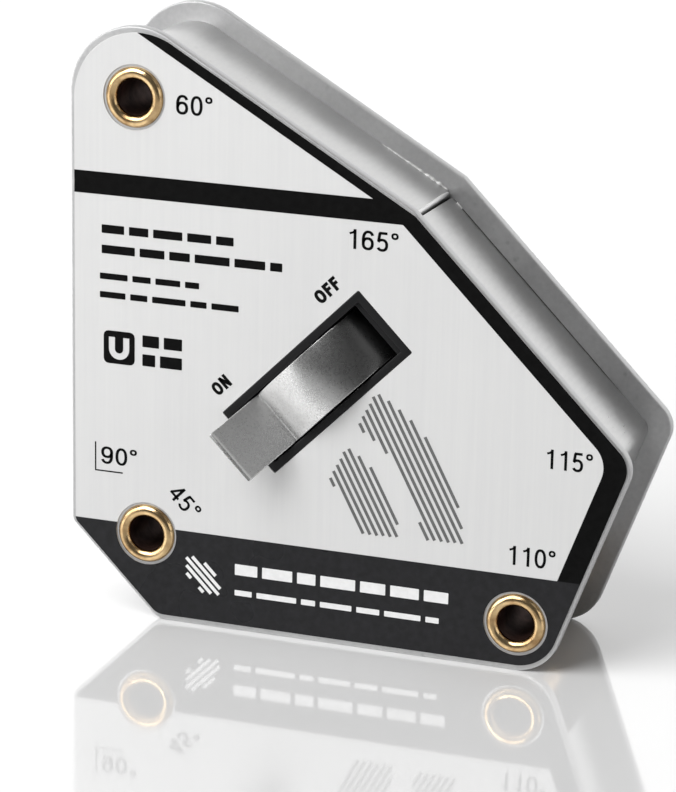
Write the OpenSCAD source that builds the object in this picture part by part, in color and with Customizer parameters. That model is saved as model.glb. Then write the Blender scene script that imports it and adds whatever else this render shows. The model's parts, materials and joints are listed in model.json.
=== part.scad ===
// Switchable magnetic holder for welding: two steel side plates with working
// edges at 60, 165, 115, 110, 90 and 45 degrees, kept apart by bent sheet strips
// and three hollow rivets, with a magnet rotor between them that a thumb lever turns.
//
// Plan shapes are drawn in the plane of the plates: X to the right, Z up.
// Y runs through the thickness, from the labelled front plate to the back plate.

/* [Side plates] */
// Thickness of each side plate
plate_t = 2; // [1.6:0.1:2.4]
// Distance over the two plates
stack_t = 29.2; // [28.8:0.1:31]
// Left edge, from the bottom line up to the line of the upper edge
left_edge = 114.4; // [112:0.2:118]
// Upper edge, from the 60 degree corner to the 165 degree corner
upper_edge = 71.8; // [70:0.2:74]
// Slanting side edge, from the 165 degree corner to the 115 degree corner
side_edge = 56.2; // [55:0.2:58]
// Leg of the 45 degree cut at the lower left corner
corner_cut = 16.4; // [15:0.2:17]
// Radius of the plates' 60 degree corner
top_corner_r = 12; // [10:0.5:13]
// Radius of the plates' 115 degree corner
side_corner_r = 5; // [3:0.5:7]
// Radius of the plates' 110 degree corner
foot_corner_r = 8; // [6:0.5:9]

/* [Spacer strips] */
// How far the upper and lower strips sit inside the plates' outline
strip_inset = 3.4; // [3:0.1:3.6]
// How far the side strip sits inside the plates' outline
side_strip_inset = 3.9; // [3.6:0.1:4.1]
// Sheet thickness of the strips
strip_t = 1.3; // [1:0.1:1.5]
// Gap between the two strips at the 165 degree corner, at the front plate
seam_gap = 0.3; // [0.2:0.05:0.6]
// How many degrees the seam opens towards the back plate
seam_taper = 1; // [0:0.5:2]

/* [Hollow rivets] */
// Bore radius of the rivets
rivet_bore_r = 3.15; // [2.8:0.05:3.3]
// Wall of the rivet's barrel
rivet_wall = 0.5; // [0.4:0.05:0.6]
// Width of the rolled rim
rivet_rim_w = 2.15; // [1.9:0.05:2.3]
// How deep the centre of the rim's round section lies below the plate's face
rivet_rim_sink = 0.2; // [0.1:0.05:0.4]

/* [Label] */
// Thickness of the printed metal label
label_t = 0.2; // [0.15:0.05:0.3]
// Radius of the label's cut-outs around the rivets
label_ring_r = 5.7; // [5.5:0.1:6]

/* [Switch] */
// Length of the slot for the lever, along its travel
slot_l = 34.4; // [34:0.1:36]
// Width of the slot, across the lever
slot_w = 13.8; // [13.6:0.1:15]
// Side wall of the bezel
bezel_side_t = 1.4; // [1.2:0.05:1.45]
// End wall of the bezel at the surface
bezel_end_t = 1.4; // [1.2:0.05:1.6]
// How far the ledge inside each end reaches in from the end's inner face
ledge_l = 1.4; // [0.8:0.1:1.6]
// Angle between the slot and the bottom edge
slot_angle = 45; // [40:1:50]
// Outer radius of the lever's drum
drum_r = 16; // [15.5:0.1:16.2]
// Thickness of the drum's skin and of the thumb tab
drum_skin = 1.5; // [1.2:0.1:1.8]
// Width of the lever
lever_w = 10.4; // [10:0.1:10.6]
// Distance of the tab's rounded tip from the lever's axis
tab_reach = 27.25; // [25:0.25:29]
// Tilt of the tab from straight out, at each end of its travel
tab_tilt = 42; // [38:1:44]
// Depth of the lever's axis below the front plate's face
axle_depth = 13; // [12.9:0.1:13.2]
// How far the drum's skin runs to each side of the tab
skin_sweep = 105; // [95:1:106]

/* [Magnet rotor] */
// Radius of the axle
axle_r = 3; // [2.8:0.05:3.1]
// Radial clearance of the axle in its bushes
bush_clearance = 0.05; // [0.02:0.01:0.1]
// Radius of the magnet rotor
rotor_r = 10.5; // [10:0.1:10.6]
// Length of the magnets along the axle
magnet_l = 19; // [16:0.5:20]
// Thickness of the magnets between the two poles
magnet_t = 8; // [7:0.5:8.5]
// Thickness of the rotor's end discs
disc_t = 1.5; // [1:0.1:1.8]
// Thickness of the brackets that carry the bushes
bracket_t = 3; // [2.5:0.1:3.5]

/* [Hidden] */
$fn = 96;
// Angle between neighbouring points on the rounds of an outline.
round_step = 5;

// Corners of the plates in plan, clockwise from the 60 degree corner.
heading_upper = 60;
heading_side = heading_upper - 15;
heading_foot = heading_side - 65;
apex = [0, left_edge];
knee = apex + upper_edge * heading(heading_upper);
shoulder = knee + side_edge * heading(heading_side);
foot = shoulder + shoulder[1] / cos(heading_foot) * heading(heading_foot);
plate_corners = [apex, knee, shoulder, foot, [corner_cut, 0], [0, corner_cut]];
plate_radii = [top_corner_r, 0.6, side_corner_r, foot_corner_r, 3.5, 2];

// Insets of the label from the plate's edges, edge by edge: the edge that ends
// at each corner, in the corners' order.
label_insets = [0.65, 0.5, 0.3, 0.6, 1, 0.6];
label_radii = [12, 0.8, 4.6, 7.4, 3, 1.6];

// Bend radii of the strips, on their outside, and the least one on their inside.
strip_radii = [top_corner_r - strip_inset, 1.4, 2.4, 3, 2.5, 2.5];
least_bend_r = 0.4;

// Where the strips end: on the left edge, on the foot edge and on the bottom edge.
left_joint = 34;
left_joint_gap = 0.5;
foot_joint = 15;
sole_end = 79;
// Reach of the cutting shapes past the plates, and across one strip.
far = 150;
across = 20;

// Rivet centres in plan.
top_rivet_at = [11.8, 93.5];
corner_rivet_at = [14.2, 15.7];
foot_rivet_at = [82.3, 8.5];
rivets = [top_rivet_at, corner_rivet_at, foot_rivet_at];
rivet_r = rivet_bore_r + rivet_wall;
rim_r = rivet_rim_w / 2;

// The gap between the plates, where the strips and the rotor sit.
gap_front = plate_t;
gap_back = stack_t - plate_t;
gap_t = gap_back - gap_front;

// Switch and rotor, along the axle from the middle of the lever.
slot_at = [45.5, 46.9];
slot_fit = 0.05;
running_gap = 0.4;
side_gap = 0.8;
ledge_top = 1;
ledge_bottom = 4;
bezel_back = gap_back - 0.5;
bezel_drum_gap = 0.5;
bezel_axle_gap = 0.3;
hub_r = 5.5;
cheek_t = 1.2;
pin_r = 1;
pin_l = 2 * hub_r - 0.4;
stop_w = lever_w - 1;
stop_h = 2.6;
stop_gap = 1.2;
disc_at = slot_w / 2 + side_gap;
magnet_at = disc_at + disc_t;
outer_disc_at = magnet_at + magnet_l;
bracket_at = outer_disc_at + disc_t + side_gap;
bracket_w = 18;
bracket_foot_l = 6;
bracket_foot_t = 2.5;
bush_wall = 1.6;
bush_r = axle_r + bush_clearance + bush_wall;
clip_at = bracket_at + bracket_t + running_gap;
clip_t = 0.8;
clip_w = 2;
clip_mouth = 3.2;
clip_groove_r = axle_r - 0.6;
axle_end = clip_at + clip_t + 1.2;
shoe_wrap = 5;

// The row's origin: middle of the overall box in X and Y, bottom edge in Z.
side_arc = inset_corner(plate_corners, 2, side_corner_r, side_corner_r);
overall_w = side_arc[0] + side_corner_r;
front_reach = tab_reach * cos(tab_tilt) + drum_skin / 2 - axle_depth;
back_reach = stack_t + rim_r - rivet_rim_sink;
mid_x = overall_w / 2;
mid_y = (back_reach - front_reach) / 2;

// Direction in plan that leaves straight down at 0 and turns towards +X.
function heading(a) = [sin(a), -cos(a)];
function unit(v) = v / norm(v);

// Normal of the edge from p to q that points into a clockwise outline.
function inward(p, q) = let (d = unit(q - p)) [d[1], -d[0]];

// Corner i of a clockwise outline after the edge before it has moved inwards by
// d_in and the edge after it by d_out.
function inset_corner(pts, i, d_in, d_out) =
    let (
        n = len(pts),
        a = inward(pts[(i + n - 1) % n], pts[i]),
        b = inward(pts[i], pts[(i + 1) % n]),
        det = a[0] * b[1] - a[1] * b[0]
    )
    pts[i] + [(d_in * b[1] - d_out * a[1]) / det, (d_out * a[0] - d_in * b[0]) / det];

// The whole outline moved inwards, with one inset for each edge or one for all.
function inset_outline(pts, d) = [
    for (i = [0 : len(pts) - 1])
        let (j = (i + 1) % len(pts))
        is_list(d) ? inset_corner(pts, i, d[i], d[j]) : inset_corner(pts, i, d, d)
];

// The round at corner i of a clockwise outline, as points along its arc.
function round_points(pts, i, r) =
    let (
        n = len(pts),
        c = inset_corner(pts, i, r, r),
        a = -inward(pts[(i + n - 1) % n], pts[i]),
        b = -inward(pts[i], pts[(i + 1) % n]),
        start = atan2(a[1], a[0]),
        turn = acos(a * b),
        steps = ceil(turn / round_step)
    )
    [for (k = [0 : steps]) let (t = start - turn * k / steps) c + r * [cos(t), sin(t)]];

// Convex outline with a round at each corner.
module rounded_outline(pts, radii)
    polygon([for (i = [0 : len(pts) - 1]) each round_points(pts, i, radii[i])]);

// Moves the design from its drawing corner to the row's origin.
module placed() translate([-mid_x, -mid_y, 0]) children();

// Extrudes a plan shape through the thickness, from depth y0 to y1.
module slab(y0, y1)
    translate([0, y1, 0]) rotate([90, 0, 0]) linear_extrude(y1 - y0) children();

// Local frame of the switch: X along the slot towards OFF, Y into the part from
// the front plate's face, Z along the axle.
module at_switch()
    placed() translate([slot_at[0], 0, slot_at[1]]) rotate([0, -slot_angle, 0]) children();

// The same frame, moved down to the axle.
module at_axle() at_switch() translate([0, axle_depth, 0]) children();

// A length of the axle's direction, on the upper side (+1) or lower side (-1).
module along_axle(side, from, length)
    translate([0, 0, side > 0 ? from : -from - length]) linear_extrude(length) children();

// Direction in the switch frame: straight out at 0, towards OFF when positive.
function out_dir(a) = [sin(a), -cos(a)];

// Pie slice around the axle from angle a0 to a1.
module slice(r, a0, a1) {
    steps = ceil((a1 - a0) / 30);
    polygon(concat([[0, 0]],
        [for (k = [0 : steps]) 1.2 * r * out_dir(a0 + (a1 - a0) * k / steps)]));
}

module plate_plan() {
    difference() {
        rounded_outline(plate_corners, plate_radii);
        for (p = rivets) translate(p) circle(r = rivet_r);
    }
}

module slot_plan(grow = 0)
    translate(slot_at) rotate(slot_angle)
        square([slot_l + 2 * grow, slot_w + 2 * grow], center = true);

module front_plate() color("silver") placed() slab(0, plate_t)
    difference() {
        plate_plan();
        slot_plan(slot_fit);
    }

module back_plate() color("darkgray") placed() slab(stack_t - plate_t, stack_t) plate_plan();

module face_label() color("gainsboro") placed() slab(-label_t, 0)
    difference() {
        rounded_outline(inset_outline(plate_corners, label_insets), label_radii);
        for (p = rivets) translate(p) circle(r = label_ring_r);
        slot_plan(slot_fit);
    }

// Closed band of sheet that the three spacer strips are cut from.
module band_plan(inset) {
    inner_radii = [for (r = strip_radii) max(r - strip_t, least_bend_r)];
    difference() {
        rounded_outline(inset_outline(plate_corners, inset), strip_radii);
        rounded_outline(inset_outline(plate_corners, inset + strip_t), inner_radii);
    }
}

// Corner of the strips at the knee, where the seam starts, and the directions
// that point out of the upper edge and out of the side edge.
function knee_in() = inset_corner(plate_corners, 1, strip_inset, strip_inset);
function upper_out() = -inward(apex, knee);
function side_out() = -inward(knee, shoulder);

module upper_spacer() color("gainsboro") placed() slab(gap_front, gap_back)
    intersection() {
        band_plan(strip_inset);
        polygon([[-far, left_joint], [-far, far], knee_in() + across * upper_out(),
                 knee_in() - across * upper_out(), [across, left_joint]]);
    }

module side_spacer() color("gainsboro") placed() difference() {
    slab(gap_front, gap_back) intersection() {
        band_plan(side_strip_inset);
        polygon([knee_in() - across * side_out(), knee_in() + across * side_out(), [far, far],
                 [far, foot_joint], [far / 2, foot_joint]]);
    }
    // Tapering cut that opens the seam at the knee.
    cut = 5;
    translate([knee_in()[0], gap_front, knee_in()[1]])
        rotate([0, 90 - heading_side, 0]) rotate([0, 0, -seam_taper])
            translate([seam_gap - cut, -cut, -cut]) cube([cut, gap_t + 2 * cut, 2 * cut]);
}

module lower_spacer() color("gainsboro") placed() slab(gap_front, gap_back)
    intersection() {
        band_plan(strip_inset);
        polygon([[-far, left_joint - left_joint_gap], [across, left_joint - left_joint_gap],
                 [sole_end, across], [sole_end, -far], [-far, -far]]);
    }

// Section of one rolled rim, its flat side on the plate's face at y = 0.
module rim_section() intersection() {
    translate([rivet_bore_r + rim_r, -rivet_rim_sink]) circle(r = rim_r, $fn = 48);
    translate([rivet_bore_r, 0]) square([rivet_rim_w, rim_r]);
}

// Hollow rivet along Y through both plates, with a rolled rim at each end.
module hollow_rivet(at) color("goldenrod") placed()
    translate([at[0], 0, at[1]]) rotate([90, 0, 0]) rotate_extrude() {
        rim_section();
        translate([rivet_bore_r, -stack_t]) square([rivet_wall, stack_t]);
        translate([0, -stack_t]) mirror([0, 1]) rim_section();
    }

module top_rivet() hollow_rivet(top_rivet_at);
module corner_rivet() hollow_rivet(corner_rivet_at);
module foot_rivet() hollow_rivet(foot_rivet_at);

// Box between two depths, centred on the slot.
module slot_box(length, width, y0, y1)
    translate([-length / 2, y0, -width / 2]) cube([length, y1 - y0, width]);

module switch_bezel() color("dimgray") at_switch() difference() {
    slot_box(slot_l, slot_w, -label_t, bezel_back);
    opening_w = slot_w - 2 * bezel_side_t;
    mouth_l = slot_l - 2 * bezel_end_t;
    slot_box(mouth_l, opening_w, -1, ledge_top);
    slot_box(mouth_l - 2 * ledge_l, opening_w, 0, bezel_back + 1);
    slot_box(2 * (drum_r + bezel_drum_gap), opening_w, ledge_bottom, bezel_back + 1);
    translate([0, axle_depth, -slot_w]) cylinder(r = axle_r + bezel_axle_gap, h = 2 * slot_w);
}

// Thumb lever: a drum with side cheeks, a hub and a flat tab that stands out of
// the middle of the drum. It is drawn with its tab towards ON.
module lever_plan() {
    difference() {
        intersection() {
            circle(r = drum_r);
            slice(drum_r, -tab_tilt - skin_sweep, -tab_tilt + skin_sweep);
        }
        circle(r = drum_r - drum_skin);
    }
    rotate(-tab_tilt) {
        translate([-drum_skin / 2, -tab_reach]) square([drum_skin, tab_reach - drum_r + drum_skin / 2]);
        translate([0, -tab_reach]) circle(r = drum_skin / 2, $fn = 32);
    }
}

module cheek_plan() {
    intersection() {
        circle(r = drum_r - drum_skin / 2);
        slice(drum_r, -tab_tilt - skin_sweep, -tab_tilt + skin_sweep);
    }
    circle(r = hub_r);
}

module switch_lever() color("lightgray") at_axle() difference() {
    union() {
        linear_extrude(lever_w, center = true) lever_plan();
        for (side = [-1, 1])
            along_axle(side, lever_w / 2 - cheek_t, cheek_t) cheek_plan();
        cylinder(r = hub_r, h = lever_w, center = true);
    }
    cylinder(r = axle_r, h = 2 * lever_w, center = true);
    rotate([90, 0, 0]) cylinder(r = pin_r, h = 2 * hub_r + 1, center = true, $fn = 32);
}

// Block that the drum's two ends stop against.
module lever_stop() color("black") at_switch() {
    stop_half = 180 - tab_tilt - skin_sweep - stop_gap;
    back = gap_back - axle_depth;
    low = back - stop_h;
    translate([0, axle_depth, 0]) linear_extrude(stop_w, center = true)
        polygon([[-low * tan(stop_half), low], [low * tan(stop_half), low],
                 [back * tan(stop_half), back], [-back * tan(stop_half), back]]);
}

// Cross pin that locks the lever's hub to the axle.
module lever_pin() color("dimgray") at_axle()
    rotate([90, 0, 0]) cylinder(r = pin_r, h = pin_l, center = true, $fn = 32);

module axle() color("slategray") at_axle() difference() {
    cylinder(r = axle_r, h = 2 * axle_end, center = true);
    rotate([90, 0, 0]) cylinder(r = pin_r, h = 3 * axle_r, center = true, $fn = 32);
    for (side = [-1, 1]) along_axle(side, clip_at, clip_t) difference() {
        circle(r = 2 * axle_r);
        circle(r = clip_groove_r);
    }
}

// Two magnet bars, one on each side of the axle.
module magnet_bars(side) color("dimgray") at_axle() along_axle(side, magnet_at, magnet_l)
    for (s = [-1, 1]) {
        reach = sqrt(rotor_r * rotor_r - magnet_t * magnet_t / 4) - running_gap;
        inner = axle_r + running_gap;
        translate([s > 0 ? inner : -reach, -magnet_t / 2]) square([reach - inner, magnet_t]);
    }

module upper_magnets() magnet_bars(1);
module lower_magnets() magnet_bars(-1);

// Steel pole piece: the part of the rotor in front of (-1) or behind (+1) the magnets.
module pole_piece(side, face) color("lightsteelblue") at_axle()
    along_axle(side, magnet_at, magnet_l) intersection() {
        circle(r = rotor_r);
        translate([-rotor_r, face > 0 ? magnet_t / 2 : -rotor_r - magnet_t / 2])
            square([2 * rotor_r, rotor_r]);
    }

module upper_front_pole() pole_piece(1, -1);
module upper_back_pole() pole_piece(1, 1);
module lower_front_pole() pole_piece(-1, -1);
module lower_back_pole() pole_piece(-1, 1);

// Brass disc that holds the rotor together at one end.
module rotor_disc(side, from) color("goldenrod") at_axle()
    along_axle(side, from, disc_t) difference() {
        circle(r = rotor_r);
        circle(r = axle_r);
    }

module upper_inner_disc() rotor_disc(1, disc_at);
module upper_outer_disc() rotor_disc(1, outer_disc_at);
module lower_inner_disc() rotor_disc(-1, disc_at);
module lower_outer_disc() rotor_disc(-1, outer_disc_at);

// Hollowed steel shoe that carries the flux from the rotor to the back plate.
module pole_shoe(side) color("silver") at_axle()
    along_axle(side, magnet_at, magnet_l) difference() {
        translate([-rotor_r, rotor_r - shoe_wrap])
            square([2 * rotor_r, gap_back - axle_depth - rotor_r + shoe_wrap]);
        circle(r = rotor_r + running_gap);
    }

module upper_pole_shoe() pole_shoe(1);
module lower_pole_shoe() pole_shoe(-1);

// Upright between the plates that carries one end of the axle.
module bracket(side) color("darkgray") at_axle() {
    along_axle(side, bracket_at, bracket_t) difference() {
        translate([-bracket_w / 2, gap_front - axle_depth]) square([bracket_w, gap_t]);
        circle(r = bush_r);
    }
    along_axle(side, bracket_at, bracket_t + bracket_foot_l)
        translate([-bracket_w / 2, gap_back - axle_depth - bracket_foot_t])
            square([bracket_w, bracket_foot_t]);
}

module upper_bracket() bracket(1);
module lower_bracket() bracket(-1);

module bush(side) color("peru") at_axle() along_axle(side, bracket_at, bracket_t) difference() {
    circle(r = bush_r);
    circle(r = axle_r + bush_clearance);
}

module upper_bush() bush(1);
module lower_bush() bush(-1);

// Open retaining ring in the groove at the axle's end.
module clip(side) color("black") at_axle() along_axle(side, clip_at, clip_t) difference() {
    circle(r = clip_groove_r + clip_w);
    circle(r = clip_groove_r);
    translate([-clip_mouth / 2, 0]) square([clip_mouth, 2 * axle_r]);
}

module upper_clip() clip(1);
module lower_clip() clip(-1);

front_plate();
back_plate();
face_label();
upper_spacer();
side_spacer();
lower_spacer();
top_rivet();
corner_rivet();
foot_rivet();
switch_bezel();
switch_lever();
lever_stop();
lever_pin();
axle();
upper_magnets();
lower_magnets();
upper_front_pole();
upper_back_pole();
lower_front_pole();
lower_back_pole();
upper_inner_disc();
upper_outer_disc();
lower_inner_disc();
lower_outer_disc();
upper_pole_shoe();
lower_pole_shoe();
upper_bracket();
lower_bracket();
upper_bush();
lower_bush();
upper_clip();
lower_clip();
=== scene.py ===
"""Looks of the welding magnet holder: bevelled sheet metal, a printed label, rolled brass
rivets, a grained lever in its black bezel, and plain studio light."""
import json
import math
import random

import bmesh
import bpy
from mathutils import Matrix, Vector


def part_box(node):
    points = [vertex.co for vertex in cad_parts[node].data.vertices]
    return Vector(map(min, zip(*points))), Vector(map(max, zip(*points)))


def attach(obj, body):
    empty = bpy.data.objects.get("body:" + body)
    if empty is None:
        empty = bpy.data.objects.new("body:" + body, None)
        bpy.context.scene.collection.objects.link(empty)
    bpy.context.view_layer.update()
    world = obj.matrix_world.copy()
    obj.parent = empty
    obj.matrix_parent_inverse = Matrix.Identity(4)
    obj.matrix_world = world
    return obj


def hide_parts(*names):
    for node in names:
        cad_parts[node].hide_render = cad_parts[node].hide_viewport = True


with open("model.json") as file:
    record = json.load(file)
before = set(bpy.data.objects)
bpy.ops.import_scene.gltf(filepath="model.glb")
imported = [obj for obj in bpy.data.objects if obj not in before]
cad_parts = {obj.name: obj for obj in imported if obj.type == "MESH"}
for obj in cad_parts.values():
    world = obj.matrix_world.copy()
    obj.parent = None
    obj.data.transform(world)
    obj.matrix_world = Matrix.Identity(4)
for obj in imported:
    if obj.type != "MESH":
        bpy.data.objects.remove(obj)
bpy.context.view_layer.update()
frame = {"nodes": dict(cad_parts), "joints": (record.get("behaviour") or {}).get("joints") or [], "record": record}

MM = 0.001
RECORD = frame["record"]
PLATE_LO, PLATE_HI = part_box("front_plate")
FRONT_Y = PLATE_LO.y
PLATE_T = (PLATE_HI.y - PLATE_LO.y) / MM
STACK_T = (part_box("back_plate")[1].y - FRONT_Y) / MM
LABEL_T = (FRONT_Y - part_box("face_label")[0].y) / MM
HINGE = frame["joints"][0]
AXLE_PLACE = Vector(HINGE["pos_m"])
AXLE = Vector(HINGE["axis"]).normalized()


# ---------------------------------------------------------------- plan geometry
def plan_of(point):
    """Plan millimetres (X from the left edge, Z from the bottom edge) of a point in the frame."""
    return Vector(((point[0] - PLATE_LO.x) / MM, (point[2] - PLATE_LO.z) / MM))


def at(plan, depth=0.0):
    """Point in the frame from plan millimetres and a depth behind the front plate's face."""
    return Vector((PLATE_LO.x + plan[0] * MM, FRONT_Y + depth * MM, PLATE_LO.z + plan[1] * MM))


MOUNTS = {mount["name"]: mount for mount in RECORD["mounts"]}
EDGE_NAMES = ("left_edge", "upper_edge", "side_edge", "foot_edge", "bottom_edge", "cut_edge")


def edge_line(name):
    """A working edge as (outward normal, distance from the plan's origin)."""
    mount = MOUNTS[name]
    normal = Vector((mount["axis"][0], mount["axis"][2])).normalized()
    return normal, normal.dot(plan_of(mount["pos_m"]))


EDGES = [edge_line(name) for name in EDGE_NAMES]
UPPER, SIDE, FOOT = EDGES[1:4]


CIRCLE_STEP = 4.0


def cross_lines(one, other):
    """Point where two (normal, distance) lines meet."""
    (n1, d1), (n2, d2) = one, other
    det = n1.x * n2.y - n1.y * n2.x
    return Vector(((d1 * n2.y - d2 * n1.y) / det, (n1.x * d2 - n2.x * d1) / det))


def arc(centre, radius, start, end, step=3.0):
    """Points of an arc, angles in degrees."""
    count = max(1, math.ceil(abs(end - start) / step))
    angles = [math.radians(start + (end - start) * k / count) for k in range(count + 1)]
    return [Vector((centre[0] + radius * math.cos(a), centre[1] + radius * math.sin(a)))
            for a in angles]


def circle(centre, radius):
    """Closed loop of points round a centre."""
    return arc(centre, radius, 0, 360, CIRCLE_STEP)[:-1]


def corner_round(before, after, radius):
    """Points of the round where two edges of a clockwise outline meet."""
    centre = cross_lines((before[0], before[1] - radius), (after[0], after[1] - radius))
    start = math.degrees(math.atan2(before[0].y, before[0].x))
    turn = math.degrees(before[0].angle(after[0]))
    return arc(centre, radius, start, start - turn)


def outline(edges, radii):
    """Closed clockwise outline from its edges, with a round after each edge."""
    points = []
    for k, edge in enumerate(edges):
        points += corner_round(edge, edges[(k + 1) % len(edges)], radii[k])
    return points


def moved_in(edges, insets):
    """Edges shifted inwards, each by its own inset."""
    return [(normal, distance - inset) for (normal, distance), inset in zip(edges, insets)]


def clip(points, normal, limit):
    """The part of a convex outline where normal . point is at most limit."""
    kept = []
    for k, q in enumerate(points):
        p = points[k - 1]
        p_out, q_out = normal.dot(p) - limit, normal.dot(q) - limit
        if p_out * q_out < 0:
            kept.append(p + (q - p) * (p_out / (p_out - q_out)))
        if q_out <= 0:
            kept.append(q)
    return kept


# ---------------------------------------------------------------- mesh helpers
# Metres between points that become one, and the cosine of a face that counts as square on.
WELD = 1e-8
SQUARE_ON = 0.99999
# Edges that turn by more degrees than this stay sharp.
SHEET_SMOOTH = 20.0
ROUND_SMOOTH = 50.0
BEVEL_STEPS = 2
LATHE_STEPS = 96


def link(name, mesh):
    """New object of a mesh, in the scene."""
    obj = bpy.data.objects.new(name, mesh)
    bpy.context.scene.collection.objects.link(obj)
    return obj


def curve_to_mesh(curve_obj, name):
    """Replaces a curve object by its mesh, with its seams welded."""
    bpy.context.view_layer.update()
    graph = bpy.context.evaluated_depsgraph_get()
    mesh = bpy.data.meshes.new_from_object(curve_obj.evaluated_get(graph))
    data = curve_obj.data
    bpy.data.objects.remove(curve_obj)
    bpy.data.curves.remove(data)
    bm = bmesh.new()
    bm.from_mesh(mesh)
    bmesh.ops.remove_doubles(bm, verts=bm.verts, dist=WELD)
    bmesh.ops.dissolve_degenerate(bm, edges=bm.edges, dist=WELD)
    bmesh.ops.recalc_face_normals(bm, faces=bm.faces)
    bm.to_mesh(mesh)
    bm.free()
    return link(name, mesh)


def smooth(obj, angle=SHEET_SMOOTH):
    """Smooth shading across edges that turn by less than an angle."""
    mesh = obj.data
    mesh.shade_smooth()
    mesh.set_sharp_from_angle(angle=math.radians(angle))
    return obj


def flatten_faces(mesh, axis):
    """Flat shading on every face that squarely faces the axis, so that big faces stay even."""
    for polygon in mesh.polygons:
        if abs(polygon.normal.dot(axis)) > SQUARE_ON:
            polygon.use_smooth = False


def sheet(name, loops, thickness, bevel=0.0):
    """Solid cut from sheet: closed loops in millimetres (holes inside the first), extruded
    evenly about its own plane, with rounded edges. Lies in X and Y, in metres."""
    curve = bpy.data.curves.new(name, "CURVE")
    curve.dimensions = "2D"
    curve.fill_mode = "BOTH"
    curve.extrude = (thickness / 2 - bevel) * MM
    curve.bevel_depth = bevel * MM
    curve.bevel_resolution = BEVEL_STEPS
    curve.offset = -bevel * MM
    for loop in loops:
        spline = curve.splines.new("POLY")
        spline.points.add(len(loop) - 1)
        for point, target in zip(spline.points, loop):
            point.co = (target[0] * MM, target[1] * MM, 0, 1)
        spline.use_cyclic_u = True
    obj = bpy.data.objects.new(name, curve)
    bpy.context.scene.collection.objects.link(obj)
    solid = smooth(curve_to_mesh(obj, name))
    flatten_faces(solid.data, Vector((0, 0, 1)))
    return solid


def to_plan(obj, depth_from, depth_to):
    """Stands a sheet up in the plan, between two depths."""
    middle = at((0, 0), (depth_from + depth_to) / 2)
    obj.data.transform(Matrix.Translation(middle) @ Matrix.Rotation(math.pi / 2, 4, "X"))
    obj.data.update()
    return obj


def plan_sheet(name, loops, depth_from, depth_to, bevel=0.0):
    """Sheet with loops in the plan, between two depths."""
    return to_plan(sheet(name, loops, depth_to - depth_from, bevel), depth_from, depth_to)


def join(name, objects):
    """One mesh object out of several."""
    bm = bmesh.new()
    for obj in objects:
        bm.from_mesh(obj.data)
        bpy.data.objects.remove(obj)
    mesh = bpy.data.meshes.new(name)
    bm.to_mesh(mesh)
    bm.free()
    return smooth(link(name, mesh))


def lathe(name, profile):
    """Ring of a closed profile of (radius, height) in millimetres turned about Z."""
    bm = bmesh.new()
    rings = []
    for k in range(LATHE_STEPS):
        a = 2 * math.pi * k / LATHE_STEPS
        rings.append([bm.verts.new((r * math.cos(a) * MM, r * math.sin(a) * MM, h * MM))
                      for r, h in profile])
    for k, ring in enumerate(rings):
        after = rings[(k + 1) % LATHE_STEPS]
        for i in range(len(profile)):
            j = (i + 1) % len(profile)
            bm.faces.new((ring[i], after[i], after[j], ring[j]))
    bmesh.ops.recalc_face_normals(bm, faces=bm.faces)
    mesh = bpy.data.meshes.new(name)
    bm.to_mesh(mesh)
    bm.free()
    return smooth(link(name, mesh), ROUND_SMOOTH)


def stand_for(obj, node, body):
    """Finished piece in place of a CAD node."""
    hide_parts(node)
    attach(obj, body)
    return obj


def extra(obj, body):
    """Small piece that has no CAD node of its own."""
    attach(obj, body)
    return obj


# ---------------------------------------------------------------- materials
# Bend of the normal where edge wear begins and where it is full.
WEAR_BEND = (0.02, 0.25)


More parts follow.
